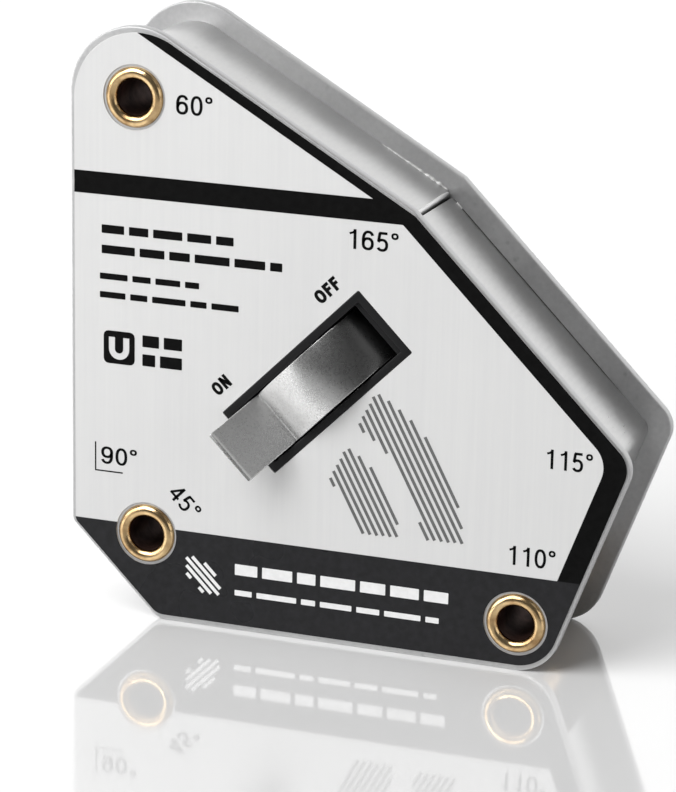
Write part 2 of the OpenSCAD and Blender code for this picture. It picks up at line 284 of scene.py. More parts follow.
class Shader:
    """Small helper that builds one node material around a Principled shader."""

    def __init__(self, name, **sockets):
        self.material = bpy.data.materials.new(name)
        self.material.use_nodes = True
        self.tree = self.material.node_tree
        self.surface = self.tree.nodes["Principled BSDF"]
        for socket, value in sockets.items():
            self.surface.inputs[socket.replace("_", " ")].default_value = value
        self.place = self.tree.nodes.new("ShaderNodeTexCoord").outputs["Object"]
        self.height = None

    def node(self, kind, inputs=(), **settings):
        """New node with its settings, and each input fed by a value or a socket."""
        made = self.tree.nodes.new(kind)
        for key, value in settings.items():
            setattr(made, key, value)
        for key, value in dict(inputs).items():
            self.feed(made.inputs[key], value)
        return made

    def feed(self, socket, value):
        """Links a socket's source, or sets its plain value."""
        if isinstance(value, bpy.types.NodeSocket):
            self.tree.links.new(value, socket)
        else:
            socket.default_value = value

    def stretched(self, scale):
        """Object coordinates, scaled on each axis."""
        return self.node("ShaderNodeMapping", {"Vector": self.place, "Scale": scale},
                         vector_type="POINT").outputs[0]

    def noise(self, scale, detail=3.0, rough=0.55, vector=None):
        """Cloudy noise from 0 to 1, in object coordinates unless a vector is given."""
        made = self.node("ShaderNodeTexNoise", {
            "Vector": vector or self.place, "Scale": scale, "Detail": detail, "Roughness": rough})
        return made.outputs["Fac"]

    def between(self, factor, low, high, start=0.0, end=1.0):
        """factor from start..end mapped to low..high."""
        return self.node("ShaderNodeMapRange", {
            "Value": factor, "From Min": start, "From Max": end,
            "To Min": low, "To Max": high}).outputs[0]

    def math(self, operation, a, b):
        """Sum, difference or product of two numbers or sockets."""
        return self.node("ShaderNodeMath", {0: a, 1: b}, operation=operation).outputs[0]

    def tint(self, factor, dark, light):
        """Colour between two colours."""
        made = self.node("ShaderNodeMix", {"Factor": factor}, data_type="RGBA")
        self.feed(made.inputs[6], (*dark, 1))
        self.feed(made.inputs[7], (*light, 1))
        return made.outputs[2]

    def over(self, factor, below, above):
        """Colour socket below, covered by a plain colour where factor is 1."""
        made = self.node("ShaderNodeMix", {"Factor": factor}, data_type="RGBA")
        self.feed(made.inputs[6], below)
        self.feed(made.inputs[7], (*above, 1))
        return made.outputs[2]

    def edge_wear(self, radius):
        """1 on worn edges: where the rounded normal leaves the true one."""
        rounded = self.node("ShaderNodeBevel", {"Radius": radius}, samples=4).outputs[0]
        true = self.node("ShaderNodeNewGeometry").outputs["Normal"]
        dot = self.node("ShaderNodeVectorMath", {0: rounded, 1: true}, operation="DOT_PRODUCT")
        bend = self.math("SUBTRACT", 1.0, dot.outputs["Value"])
        return self.between(bend, 0.0, 1.0, *WEAR_BEND)

    def bump(self, height, strength, distance):
        """Adds one layer of relief under the layers already there."""
        inputs = {"Height": height, "Strength": strength, "Distance": distance}
        if self.height is not None:
            inputs["Normal"] = self.height
        self.height = self.node("ShaderNodeBump", inputs).outputs[0]
        self.feed(self.surface.inputs["Normal"], self.height)

    def set(self, **sockets):
        """Feeds sockets of the Principled shader, named with _ for each space."""
        for socket, value in sockets.items():
            self.feed(self.surface.inputs[socket.replace("_", " ")], value)


def steel(name, dark, light, rough, stretch=(1, 1, 1), grain=900.0, spots=0.0, metallic=1.0):
    """Satin steel: rolled or ground grain, cloudy tone, fine pits and brighter worn edges."""
    shader = Shader(name, Metallic=metallic)
    cloud = shader.noise(35.0, 4.0, 0.6)
    fine = shader.noise(grain, 3.0, 0.6, shader.stretched(stretch))
    tone = shader.math("ADD", shader.math("MULTIPLY", cloud, 0.6),
                       shader.math("MULTIPLY", fine, 0.4))
    colour = shader.tint(shader.between(tone, 0.0, 1.0, 0.3, 0.7), dark, light)
    if spots:
        pits = shader.node("ShaderNodeTexVoronoi", {"Vector": shader.place, "Scale": 420.0})
        mark = shader.between(pits.outputs["Distance"], spots, 0.0, 0.05, 0.22)
        gate = shader.between(shader.noise(90.0), 0.0, 1.0, 0.52, 0.62)
        colour = shader.over(shader.math("MULTIPLY", mark, gate), colour,
                             tuple(0.35 * c for c in dark))
    wear = shader.edge_wear(0.0004)
    colour = shader.over(wear, colour, tuple(min(1.0, 1.15 * c) for c in light))
    shader.set(Base_Color=colour,
               Roughness=shader.between(tone, rough - 0.06, rough + 0.08, 0.3, 0.7))
    shader.bump(cloud, 0.25, 0.0002)
    shader.bump(fine, 0.35, 0.00002)
    return shader.material


def label_metal():
    """Satin metal film, brushed upright, with faint cloudiness."""
    shader = Shader("label_metal", Metallic=0.15)
    streaks = shader.noise(260.0, 4.0, 0.65, shader.stretched((6.0, 6.0, 0.12)))
    cloud = shader.noise(22.0, 3.0, 0.5)
    tone = shader.math("ADD", shader.math("MULTIPLY", streaks, 0.65),
                       shader.math("MULTIPLY", cloud, 0.35))
    shader.set(
        Base_Color=shader.tint(shader.between(tone, 0.0, 1.0, 0.35, 0.65),
                               (0.63, 0.63, 0.63), (0.66, 0.66, 0.655)),
        Roughness=shader.between(tone, 0.38, 0.50, 0.3, 0.7))
    shader.bump(streaks, 0.10, 0.00001)
    return shader.material


def ink(name, dark, light, rough, gloss=0.4):
    """Screen-printed ink: slightly uneven cover and an orange-peel gloss."""
    shader = Shader(name, Metallic=0.0, Specular_IOR_Level=gloss)
    cover = shader.noise(700.0, 3.0, 0.6)
    cloud = shader.noise(40.0, 3.0, 0.5)
    shader.set(
        Base_Color=shader.tint(shader.between(cover, 0.0, 1.0, 0.35, 0.7), dark, light),
        Roughness=shader.between(cloud, rough - 0.05, rough + 0.07, 0.3, 0.7))
    shader.bump(cover, 0.12, 0.00001)
    return shader.material


def brass(name, dark, light, rough):
    """Rolled brass or bronze: uneven tarnish, smoother where it is bright."""
    shader = Shader(name, Metallic=1.0)
    fine = shader.noise(1500.0, 3.0, 0.6)
    cloud = shader.noise(260.0, 4.0, 0.6)
    shader.set(
        Base_Color=shader.tint(shader.between(cloud, 0.0, 1.0, 0.35, 0.68), dark, light),
        Roughness=shader.between(cloud, rough + 0.08, rough - 0.03, 0.35, 0.68))
    shader.bump(cloud, 0.18, 0.0001)
    shader.bump(fine, 0.15, 0.00001)
    return shader.material


def plastic():
    """Moulded black plastic with a fine spark-eroded grain."""
    shader = Shader("bezel_plastic", Metallic=0.0, Specular_IOR_Level=0.2)
    grain = shader.noise(1600.0, 2.0, 0.5)
    cloud = shader.noise(120.0, 3.0, 0.5)
    wear = shader.edge_wear(0.0003)
    colour = shader.tint(cloud, (0.004, 0.004, 0.0045), (0.008, 0.008, 0.0085))
    shader.set(Base_Color=shader.over(shader.math("MULTIPLY", wear, 0.5), colour,
                                      (0.05, 0.05, 0.05)),
               Roughness=shader.between(cloud, 0.42, 0.55, 0.3, 0.7))
    shader.bump(grain, 0.3, 0.00002)
    return shader.material


# In the plates' plane, square to the axle, from ON to OFF.
TO_OFF = Vector((AXLE.z, 0, -AXLE.x))
# Metres from the axle towards OFF, where the lever's painted highlight and painted shade begin and end.
HIGHLIGHT_RISE = (-0.0106, -0.0082)
HIGHLIGHT_FALL = (-0.0050, 0.0002)
# Metres from the axle towards OFF over which painted shade darkens the drum into the bezel's recess.
SHADE_RISE = (0.0, 0.0100)


def lever_metal():
    """Bead-blasted cast metal under clear nickel: sparkling fine grain, bright worn edges, and
    a pale, less metallic patch on the drum beside the tab, a painted highlight. The end
    that runs under the bezel is darker with painted shade."""
    shader = Shader("lever_metal")
    blast = shader.noise(2300.0, 2.0, 0.65)
    coarse = shader.noise(900.0, 3.0, 0.6)
    cloud = shader.noise(90.0, 3.0, 0.5)
    tone = shader.math("ADD", shader.math("MULTIPLY", blast, 0.5),
                       shader.math("MULTIPLY", cloud, 0.5))
    travel = shader.node("ShaderNodeVectorMath", {0: shader.place, 1: TO_OFF},
                         operation="DOT_PRODUCT").outputs["Value"]
    off_axle = shader.math("SUBTRACT", travel, AXLE_PLACE.dot(TO_OFF))
    # Pale, less metallic patch beside the tab's root: painted highlight.
    rise = shader.between(off_axle, 0.0, 1.0, *HIGHLIGHT_RISE)
    fall = shader.between(off_axle, 1.0, 0.0, *HIGHLIGHT_FALL)
    painted_highlight = shader.math("MULTIPLY", rise, fall)
    colour = shader.tint(shader.between(tone, 0.0, 1.0, 0.35, 0.65),
                         (0.52, 0.52, 0.52), (0.66, 0.66, 0.655))
    colour = shader.over(painted_highlight, colour, (0.58, 0.58, 0.575))
    # Painted shade: the drum darkens towards OFF, where it runs into the bezel's recess.
    painted_shade = shader.between(off_axle, 0.0, 0.8, *SHADE_RISE)
    colour = shader.over(painted_shade, colour, (0.05, 0.05, 0.05))
    colour = shader.over(shader.edge_wear(0.0003), colour, (0.95, 0.95, 0.94))
    shader.set(Base_Color=colour, Metallic=shader.between(painted_highlight, 1.0, 0.15),
               Roughness=shader.between(tone, 0.25, 0.31, 0.35, 0.65))
    shader.bump(coarse, 0.14, 0.00002)
    shader.bump(blast, 0.18, 0.00001)
    return shader.material


def rubber():
    """Dull black rubber with a fine moulding grain."""
    shader = Shader("stop_rubber", Metallic=0.0)
    grain = shader.noise(900.0, 3.0, 0.6)
    shader.set(Base_Color=shader.tint(grain, (0.012, 0.012, 0.012), (0.03, 0.03, 0.03)),
               Roughness=shader.between(grain, 0.7, 0.9, 0.3, 0.7))
    shader.bump(grain, 0.4, 0.00004)
    return shader.material


def ferrite():
    """Dark sintered magnet, matt and grainy."""
    shader = Shader("ferrite", Metallic=0.2)
    grain = shader.noise(1100.0, 4.0, 0.7)
    shader.set(Base_Color=shader.tint(grain, (0.04, 0.04, 0.045), (0.10, 0.10, 0.105)),
               Roughness=shader.between(grain, 0.5, 0.75, 0.3, 0.7))
    shader.bump(grain, 0.4, 0.00003)
    return shader.material


# One material for each slot of the record.
MATERIALS = {
    "plate_steel": steel("plate_steel", (0.42, 0.42, 0.425), (0.56, 0.56, 0.56), 0.44,
                         grain=1100.0, spots=0.3, metallic=0.85),
    "strip_steel": steel("strip_steel", (0.46, 0.46, 0.46), (0.60, 0.60, 0.595), 0.32,
                         stretch=(1.0, 0.25, 1.0), grain=1300.0, spots=0.12, metallic=0.9),
    "label_metal": label_metal(),
    "rivet_brass": brass("rivet_brass", (0.38, 0.235, 0.11), (0.78, 0.575, 0.31), 0.17),
    "bezel_plastic": plastic(),
    "stop_rubber": rubber(),
    "core_steel": steel("core_steel", (0.36, 0.36, 0.37), (0.52, 0.52, 0.53), 0.40, grain=700.0),
    "bush_bronze": brass("bush_bronze", (0.40, 0.22, 0.10), (0.66, 0.42, 0.20), 0.32),
    "lever_metal": lever_metal(),
    "axle_steel": steel("axle_steel", (0.5, 0.5, 0.51), (0.66, 0.66, 0.67), 0.25, grain=1600.0),
    "ferrite": ferrite(),
    "disc_brass": brass("disc_brass", (0.55, 0.36, 0.14), (0.80, 0.60, 0.28), 0.28),
    "clip_steel": steel("clip_steel", (0.03, 0.03, 0.032), (0.08, 0.08, 0.085), 0.45),
}
# Prints and small details that share a slot with a piece of the record.
INK_BLACK = ink("ink_black", (0.003, 0.003, 0.003), (0.005, 0.005, 0.005), 0.45, 0.05)
INK_GREY = ink("ink_grey", (0.10, 0.10, 0.10), (0.13, 0.13, 0.13), 0.42)
SOLDER = steel("solder", (0.50, 0.50, 0.50), (0.66, 0.66, 0.65), 0.58, grain=1800.0,
               metallic=0.3)
# Pale steel of the lip at the knee: its lightness is a painted highlight on the upper strip's rounded end.
LIP_HIGHLIGHT_STEEL = steel("lip_painted_highlight", (0.76, 0.76, 0.76), (0.88, 0.88, 0.87), 0.40, grain=1800.0,
                   metallic=0.6)
# Near-black line in the crease between the side strip and the back plate: painted shade.
CREASE_SHADE = steel("painted_crease_shade", (0.02, 0.02, 0.02), (0.06, 0.06, 0.058), 0.60, grain=1800.0,
              metallic=0.0)
# Dark brass of the rivet bores: painted shade deep in the long bores.
BORE_SHADE = brass("rivet_bore_painted_shade", (0.065, 0.034, 0.028), (0.18, 0.10, 0.08), 0.50)
INK_BAND = ink("ink_band", (0.010, 0.010, 0.011), (0.016, 0.016, 0.018), 0.30, 0.25)
INK_WHITE = ink("ink_white", (0.72, 0.72, 0.72), (0.80, 0.80, 0.80), 0.40)


def paint(obj, material):
    """Gives an object one material in place of any it has."""
    obj.data.materials.clear()
    obj.data.materials.append(material)
    return obj


for entry in RECORD["subparts"]:
    paint(frame["nodes"][entry["node"]], MATERIALS[entry["material_slot"]])


# ---------------------------------------------------------------- plates, label, strips
# Corner rounds go clockwise, each after the edge in the same place of EDGES.
PLATE_RADII = (12.0, 0.6, 5.0, 8.0, 3.5, 2.0)
LABEL_INSETS = (0.65, 0.5, 0.3, 0.6, 1.0, 0.6)
LABEL_RADII = (12.0, 0.8, 4.6, 7.4, 3.0, 1.6)
LABEL_RING_R = 5.7
PLATE_BEVEL = 0.22
LABEL_BEVEL = 0.04
# Depth of the back plate's inner face.
BACK = STACK_T - PLATE_T
RIVETS = {name: plan_of(MOUNTS[name + "_bore"]["pos_m"]) for name in ("top", "corner", "foot")}
RIVET_BORE_R = MOUNTS["top_bore"]["dims"]["r_mm"]
BARREL_T = 0.5
RIVET_R = RIVET_BORE_R + BARREL_T

SLOT_AT = plan_of(AXLE_PLACE)
AXLE_DEPTH = (AXLE_PLACE.y - FRONT_Y) / MM
SLOT_ANGLE = math.degrees(math.atan2(-AXLE.x, AXLE.z))
# The bezel's outline, and how much longer and wider the slot for it is.
SLOT_L, SLOT_W = 34.4, 13.8
SLOT_PLAY = 0.1


def slot_rectangle(length, width, radius=0.3):
    """Rectangle in the plan, turned with the slot, with small corner rounds."""
    turned = Matrix.Rotation(math.radians(SLOT_ANGLE), 2)
    points = []
    for k, (sx, sy) in enumerate(((1, 1), (-1, 1), (-1, -1), (1, -1))):
        centre = (sx * (length / 2 - radius), sy * (width / 2 - radius))
        points += arc(centre, radius, 90 * k, 90 * k + 90, 30)
    return [turned @ p + SLOT_AT for p in points]


SLOT = slot_rectangle(SLOT_L + SLOT_PLAY, SLOT_W + SLOT_PLAY)


def make_plates():
    """Both plates, alike but for the slot in the front one."""
    holes = [circle(centre, RIVET_R) for centre in RIVETS.values()]
    shape = outline(EDGES, PLATE_RADII)
    front = plan_sheet("front_plate_sheet", [shape, *holes, SLOT], 0, PLATE_T, PLATE_BEVEL)
    back = plan_sheet("back_plate_sheet", [shape, *holes], BACK, STACK_T, PLATE_BEVEL)
    for obj, node in ((front, "front_plate"), (back, "back_plate")):
        paint(stand_for(obj, node, "housing"), MATERIALS["plate_steel"])


def make_label():
    """Label film, cut out round the rivets and the bezel."""
    rings = [circle(centre, LABEL_RING_R) for centre in RIVETS.values()]
    shape = outline(moved_in(EDGES, LABEL_INSETS), LABEL_RADII)
    label = plan_sheet("face_label_film", [shape, *rings, SLOT], -LABEL_T, 0, LABEL_BEVEL)
    paint(stand_for(label, "face_label", "housing"), MATERIALS["label_metal"])


STRIP_T = 1.3
STRIP_BEVEL = 0.16
STRIP_INSET = (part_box("upper_spacer")[0].x - PLATE_LO.x) / MM
SIDE_SETBACK = 0.5
LEAST_BEND = 0.4
SIDE_BEND, SOLE_BEND = 2.4, 2.5
# At the knee the upper strip's end is worn round, and the seam widens towards the back plate.
END_ROUND = 0.9
SEAM_GAP = 0.3
SEAM_TAPER = 1.0
TAPER_REACH = 3.0
HAIRLINE = 0.12
LEFT_GAP = 0.5

UPPER_RUN = Vector((UPPER[0].y, -UPPER[0].x))
SIDE_RUN = Vector((SIDE[0].y, -SIDE[0].x))
KNEE = cross_lines((UPPER[0], UPPER[1] - STRIP_INSET), (SIDE[0], SIDE[1] - STRIP_INSET))
KNEE_CUT = (UPPER_RUN, UPPER_RUN.dot(KNEE))
SEAM_CUT = (SIDE_RUN, SIDE_RUN.dot(KNEE) + SEAM_GAP)


def strip_sheet(name, inset, rounds, start, end, end_round=0.0, hairline=0.0):
    """Bent strip between two cutting lines, each (edge number, line). Its last corner on the
    outside can be worn round, and it can leave a hairline at the back plate."""
    faces = []
    for extra_inset in (0.0, STRIP_T):
        edges = moved_in(EDGES, [inset + extra_inset] * len(EDGES))
        points = []
        for k, radius in rounds:
            bend = max(radius - extra_inset, LEAST_BEND)
            points += corner_round(edges[k], edges[(k + 1) % len(edges)], bend)
        first = cross_lines(edges[start[0]], start[1])
        last = [cross_lines(edges[end[0]], end[1])]
        if end_round and not extra_inset:
            last = corner_round(edges[end[0]], end[1], end_round)
        faces.append([first, *points, *last])
    loop = faces[0] + faces[1][::-1]
    return plan_sheet(name, [loop], PLATE_T, BACK - hairline, STRIP_BEVEL)


def widen_seam(obj):
    """Slants a strip's end at the seam, so that the gap grows with depth."""
    slope = math.tan(math.radians(SEAM_TAPER))
    for vertex in obj.data.vertices:
        along = SIDE_RUN.dot(plan_of(vertex.co)) - SEAM_CUT[1]
        if along < TAPER_REACH:
            depth = (vertex.co.y - FRONT_Y) / MM - PLATE_T
            shift = SIDE_RUN * (depth * slope * (1 - along / TAPER_REACH)) * MM
            vertex.co += Vector((shift.x, 0, shift.y))


def make_strips():
    """The three bent strips between the plates."""
    up, right = Vector((0, 1)), Vector((1, 0))
    left_joint = (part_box("upper_spacer")[0].z - PLATE_LO.z) / MM
    foot_joint = (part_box("side_spacer")[0].z - PLATE_LO.z) / MM
    sole_end = (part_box("lower_spacer")[1].x - PLATE_LO.x) / MM
    upper = strip_sheet("upper_spacer_strip", STRIP_INSET, [(0, PLATE_RADII[0] - STRIP_INSET)],
                        (0, (up, left_joint)), (1, KNEE_CUT), END_ROUND)
    side = strip_sheet("side_spacer_strip", STRIP_INSET + SIDE_SETBACK, [(2, SIDE_BEND)],
                       (2, SEAM_CUT), (3, (up, foot_joint)), hairline=HAIRLINE)
    lower = strip_sheet("lower_spacer_strip", STRIP_INSET, [(4, SOLE_BEND), (5, SOLE_BEND)],
                        (4, (right, sole_end)), (0, (up, left_joint - LEFT_GAP)))
    widen_seam(side)
    for obj, node in ((upper, "upper_spacer"), (side, "side_spacer"), (lower, "lower_spacer")):
        paint(stand_for(obj, node, "housing"), MATERIALS["strip_steel"])


BEAD_STEP = 0.15
BEAD_SIDES = 12
BEAD_WAVES = (23, 41, 67)
BEAD_SMOOTH = 60.0
# The lip lies this far before the knee and this far under the strip's outer face.
LIP_BEFORE, LIP_UNDER = 0.42, 0.22


def tube(name, rings):
    """Closed tube of rings that have the same number of points."""
    bm = bmesh.new()
    loops = [[bm.verts.new(point) for point in ring] for ring in rings]
    for one, two in zip(loops, loops[1:]):
        for j in range(len(one)):
            i = (j + 1) % len(one)
            bm.faces.new((one[j], one[i], two[i], two[j]))
    bm.faces.new(loops[0])
    bm.faces.new(loops[-1])
    bmesh.ops.recalc_face_normals(bm, faces=bm.faces)
    mesh = bpy.data.meshes.new(name)
    bm.to_mesh(mesh)
    bm.free()
    return smooth(link(name, mesh), BEAD_SMOOTH)


def bead(name, start, end, radii, seed, lump, material):
    """Lumpy run along a straight line, its radius going from radii[0] to radii[1]."""
    luck = random.Random(seed)
    run = (end - start).normalized()
    side = run.orthogonal().normalized()
    up = run.cross(side)
    steps = max(12, int((end - start).length / (BEAD_STEP * MM)))
    phases = [luck.uniform(0, 2 * math.pi) for _ in BEAD_WAVES]
    turns = [2 * math.pi * j / BEAD_SIDES for j in range(BEAD_SIDES)]
    rings = []
    for k in range(steps + 1):
        t = k / steps
        # Thin at both ends, full after an eighth of the length.
        taper = max(0.05, min(1.0, 8 * t, 8 * (1 - t)) ** 0.5)
        wave = sum(math.sin(f * t + p) for f, p in zip(BEAD_WAVES, phases)) / len(BEAD_WAVES)
        r = (radii[0] + (radii[1] - radii[0]) * t) * taper * (1 + lump * wave) * MM
        centre = start.lerp(end, t)
        rings.append([centre + (side * math.cos(a) + up * math.sin(a)) * r for a in turns])
    return paint(extra(tube(name, rings), "housing"), material)


def make_beads():
    """Solder and a dark line of painted shade where the strips meet the back plate, and a pale
    lip at the knee whose lightness is a painted highlight.
    """
    side_line = KNEE - SIDE[0] * SIDE_SETBACK
    lip = KNEE - UPPER_RUN * LIP_BEFORE - UPPER[0] * LIP_UNDER
    # Name, both ends as plan point and depth, radii, seed, lumpiness, material.
    runs = (("solder_upper", (KNEE - UPPER_RUN * 15.0, BACK - 0.1),
             (KNEE - UPPER_RUN * 0.7, BACK - 0.15), (0.08, 0.40), 11, 0.5, SOLDER),
            ("solder_side", (side_line + SIDE_RUN * 1.9, BACK - 0.1),
             (side_line + SIDE_RUN * 3.4, BACK - 0.1), (0.28, 0.16), 23, 0.3, SOLDER),
            # Dark line of painted shade in the crease of the side strip and the back plate.
            ("painted_shade_side", (side_line + SIDE_RUN * 1.0, BACK),
             (side_line + SIDE_RUN * 44.0, BACK), (0.12, 0.10), 31, 0.1, CREASE_SHADE),
            # Pale lip at the knee: a painted highlight on the upper strip's end.
            ("seam_lip", (lip, PLATE_T + 0.1), (lip, BACK - 0.3), (0.34, 0.44), 5, 0.05,
             LIP_HIGHLIGHT_STEEL))
    for name, start, end, radii, seed, lump, material in runs:
        bead(name, at(*start), at(*end), radii, seed, lump, material)


# ---------------------------------------------------------------- rivets
RIM_W, RIM_SINK = 2.15, 0.2
# Angle at which the round of a rim reaches the plate on either side.
RIM_START = 10.8
# The barrel's inner wall begins this far inside each outer face.
WALL_START = 0.3
# Faces no further out than this from the bore's wall belong to it.
BORE_SLACK = 0.02


def rim_profile():
    """Rolled rims and barrel of a hollow rivet, heights measured out from the front face."""
    middle = RIVET_BORE_R + RIM_W / 2
    rim = arc((middle, -RIM_SINK), RIM_W / 2, RIM_START, 180 - RIM_START, 6)
    front = [(p.x, p.y) for p in rim]
    back = [(r, -STACK_T - h) for r, h in front][::-1]
    inner = [(RIVET_BORE_R, -WALL_START), (RIVET_BORE_R, WALL_START - STACK_T)]
    outer = [(RIVET_R, -STACK_T), (RIVET_R, 0.0)]
    return front + inner + back + outer


def paint_bore_shade(ring):
    """Second material on the faces of the bore, dark with painted shade."""
    ring.data.materials.append(BORE_SHADE)
    for face in ring.data.polygons:
        out = math.hypot(face.center.x, face.center.y) / MM
        depth = -face.center.z / MM
        if out < RIVET_BORE_R + BORE_SLACK and 0 < depth < STACK_T:
            face.material_index = 1


def make_rivets():
    """Three hollow rivets through both plates."""
    for name, centre in RIVETS.items():
        ring = lathe(name + "_rivet_ring", rim_profile())
        ring.data.materials.append(MATERIALS["rivet_brass"])
        paint_bore_shade(ring)
        ring.data.transform(Matrix.Translation(at(centre)) @ Matrix.Rotation(math.pi / 2, 4, "X"))
        stand_for(ring, name + "_rivet", "housing")


# ---------------------------------------------------------------- bezel and lever
BEZEL_WALL = 1.4
# Depths where the bezel's opening changes, and its three lengths from front to back.
BEZEL_STEPS = (1.0, 4.0)
OPENING_L = (SLOT_L - 2 * BEZEL_WALL, SLOT_L - 4 * BEZEL_WALL, 33.0)
OPENING_BEVELS = (0.12, 0.1, 0.05)


def make_bezel():
    """Black frame in the slot: a rim, a wider wall behind it and a thin collar at the back."""
    lo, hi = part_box("switch_bezel")
    depths = ((lo.y - FRONT_Y) / MM, *BEZEL_STEPS, (hi.y - FRONT_Y) / MM)
    outer = slot_rectangle(SLOT_L, SLOT_W, 0.35)
    parts = []
    for k, (length, bevel) in enumerate(zip(OPENING_L, OPENING_BEVELS)):
        opening = slot_rectangle(length, SLOT_W - 2 * BEZEL_WALL, 0.25)
        parts.append(plan_sheet("bezel_ring", [outer, opening], depths[k], depths[k + 1], bevel))
    bezel = join("switch_bezel_frame", parts)
    paint(stand_for(bezel, "switch_bezel", "housing"), MATERIALS["bezel_plastic"])


# Lever: drum, tab and hub in millimetres, the tab's tilt and the skin's reach in degrees.
DRUM_R, DRUM_SKIN, LEVER_W = 16.0, 1.5, 10.4
TAB_REACH, TAB_TILT, SKIN_SWEEP = 27.25, 42.0, 105.0
HUB_R, CHEEK_T, AXLE_R = 5.5, 1.2, 3.0
HUB_SETBACK = 0.2
ROOT_FILLET = 0.15
SKIN_BEVEL, CHEEK_BEVEL = 0.14, 0.1


def out_point(radius, angle):
    """Point of the switch frame at an angle from straight out, positive towards OFF."""
    a = math.radians(angle)
    return Vector((radius * math.sin(a), -radius * math.cos(a)))


def drum_arc(radius, start, end, step=2.0):
    """Arc about the axle between two angles of the switch frame."""
    count = max(1, math.ceil(abs(end - start) / step))
    return [out_point(radius, start + (end - start) * k / count) for k in range(count + 1)]


def lever_outline():
    """Skin of the drum with the tab standing out of its middle."""
    half = DRUM_SKIN / 2
    side = Vector((math.cos(math.radians(-TAB_TILT)), math.sin(math.radians(-TAB_TILT))))
    root = math.degrees(math.asin((half + ROOT_FILLET) / DRUM_R))
    tip = out_point(TAB_REACH, -TAB_TILT)
    foot = out_point(DRUM_R + ROOT_FILLET, -TAB_TILT)
    tip_angle = math.degrees(math.atan2(side.y, side.x))
    points = drum_arc(DRUM_R, -TAB_TILT - SKIN_SWEEP, -TAB_TILT - root)
    points.append(foot - side * half)
    points += arc(tip, half, tip_angle - 180, tip_angle - 360, 20)
    points.append(foot + side * half)
    points += drum_arc(DRUM_R, -TAB_TILT + root, -TAB_TILT + SKIN_SWEEP)
    points += drum_arc(DRUM_R - DRUM_SKIN, -TAB_TILT + SKIN_SWEEP, -TAB_TILT - SKIN_SWEEP)
    return points


def along_axle(name, loops, start, end, bevel):
    """Solid of a section in the switch frame (X towards OFF, Y into the part, Z along the
    axle) between two places on the axle."""
    obj = sheet(name, loops, end - start, bevel)
    middle = Matrix.Translation((0, 0, (start + end) / 2 * MM))
    turn = Matrix((TO_OFF, Vector((0, 1, 0)), AXLE)).transposed().to_4x4()
    obj.data.transform(Matrix.Translation(at(SLOT_AT, AXLE_DEPTH)) @ turn @ middle)
    return obj


def make_lever():
    """Thumb lever: skin with the tab, two cheeks and the hub."""
    half = LEVER_W / 2
    hub_end = half - HUB_SETBACK
    parts = [along_axle("skin", [lever_outline()], -half, half, SKIN_BEVEL)]
    bore = circle((0, 0), AXLE_R)
    web = drum_arc(DRUM_R - DRUM_SKIN, -TAB_TILT - SKIN_SWEEP, -TAB_TILT + SKIN_SWEEP)
    cheek = web + drum_arc(HUB_R, -TAB_TILT + SKIN_SWEEP, 360 - TAB_TILT - SKIN_SWEEP, 6)
    for start in (-half, half - CHEEK_T):
        parts.append(along_axle("cheek", [cheek, bore], start, start + CHEEK_T, CHEEK_BEVEL))
    parts.append(along_axle("hub", [circle((0, 0), HUB_R), bore], -hub_end, hub_end, CHEEK_BEVEL))
    lever = join("switch_lever_casting", parts)
    paint(stand_for(lever, "switch_lever", "rotor"), MATERIALS["lever_metal"])


# ---------------------------------------------------------------- printing on the label
# The ink starts just inside the label's face, and the white prints lie on the black band.
INK_T = 0.03
INK_SINK = 0.005
INK_BACK = INK_SINK - LABEL_T
INK_FRONT = INK_BACK - INK_T
WHITE_LIFT = 0.02


def print_shape(name, loops, material):
    """Flat print of one outline with its holes."""
    obj = plan_sheet(name, loops, INK_FRONT, INK_BACK)
    return paint(extra(obj, "housing"), material)


def ribbon(points, width):
    """Outline of a line of even width through some points."""
    left, right = [], []
    for k, p in enumerate(points):
        before, after = points[max(k - 1, 0)], points[min(k + 1, len(points) - 1)]
        run = (after - before).normalized()
        side = Vector((-run.y, run.x)) * width / 2
        left.append(p + side)
        right.append(p - side)
    return left + right[::-1]


def oval(centre, rx, ry, start=0.0, end=360.0, step=12.0):
    """Points of an upright oval, slightly squared like a drafting figure."""
    points = []
    count = math.ceil(abs(end - start) / step)
    for k in range(count + 1):
        a = math.radians(start + (end - start) * k / count)
        c, t = math.cos(a), math.sin(a)
        points.append(Vector((centre[0] + rx * math.copysign(abs(c) ** 0.85, c),
                              centre[1] + ry * math.copysign(abs(t) ** 0.9, t))))
    return points


def ring_shape(centre, rx, ry, width):
    """Oval stroke."""
    return [oval(centre, rx, ry)[:-1], oval(centre, rx - width, ry - width)[:-1]]


def line_shape(width, *points):
    """Stroke through some points."""
    return [ribbon([Vector(p) for p in points], width)]


FIGURE_GAP = 0.12
FIGURE_WEIGHT = 0.135
SWITCH_WEIGHT = 0.24


